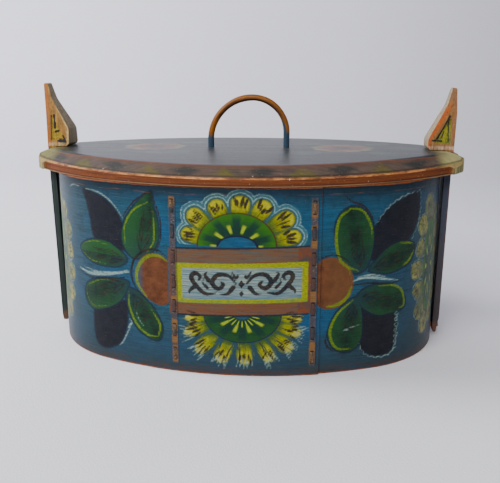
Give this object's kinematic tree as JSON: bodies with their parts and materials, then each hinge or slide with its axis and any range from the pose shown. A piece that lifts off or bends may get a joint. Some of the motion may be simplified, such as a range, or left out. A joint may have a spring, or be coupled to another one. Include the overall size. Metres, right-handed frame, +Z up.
{
  "type": "norwegian tine box",
  "caption": "Oval bentwood box with a lapped, root-sewn painted side, a thick bevelled lid with a bow handle, and springy carved end posts whose hooked heads snap over the lid.",
  "frame": {"origin": "on the surface the box stands on, under the middle of the box", "axes": "+X along the box towards the right-hand post, -Y out of the sewn and painted front, +Z up"},
  "size_m": [0.4108, 0.257, 0.2455],
  "materials": {
    "painted_side": "old blue paint with painted flowers, worn satin",
    "bare_wood": "plain planed wood, matt",
    "peg_wood": "plain whittled wood, matt",
    "root": "split root, partly painted over",
    "painted_post": "dark paint below the lid, worn bare wood on the carved heads",
    "painted_lid": "glossy old paint, worn orange-brown edge",
    "bow_rod": "peeled bent rod, satin"
  },
  "bodies": {
    "box": {"side_band": "painted_side", "bottom_board": "bare_wood", "bottom_pegs": "peg_wood", "left_lacing": "root", "right_lacing": "root", "left_post_pegs": "peg_wood", "right_post_pegs": "peg_wood"},
    "left_spring": {"left_post": "painted_post"},
    "right_spring": {"right_post": "painted_post"},
    "lid": {"lid_board": "painted_lid", "lid_handle": "bow_rod", "handle_wedges": "peg_wood"}
  },
  "joints": [
    {"name": "left_post_spring", "type": "hinge", "parent": "box", "child": "left_spring", "pos_m": [-0.1854, 0, 0.011], "axis": [0, -1, 0], "range_deg": [0, 6.5], "stiffness_Nm_per_rad": 40, "deforming": ["left_post"]},
    {"name": "right_post_spring", "type": "hinge", "parent": "box", "child": "right_spring", "pos_m": [0.1854, 0, 0.011], "axis": [0, 1, 0], "range_deg": [0, 6.5], "stiffness_Nm_per_rad": 40, "deforming": ["right_post"]},
    {"name": "lid_lift", "type": "slide", "parent": "box", "child": "lid", "axis": [0, 0, 1], "range_m": [0, 0.12]}
  ]
}
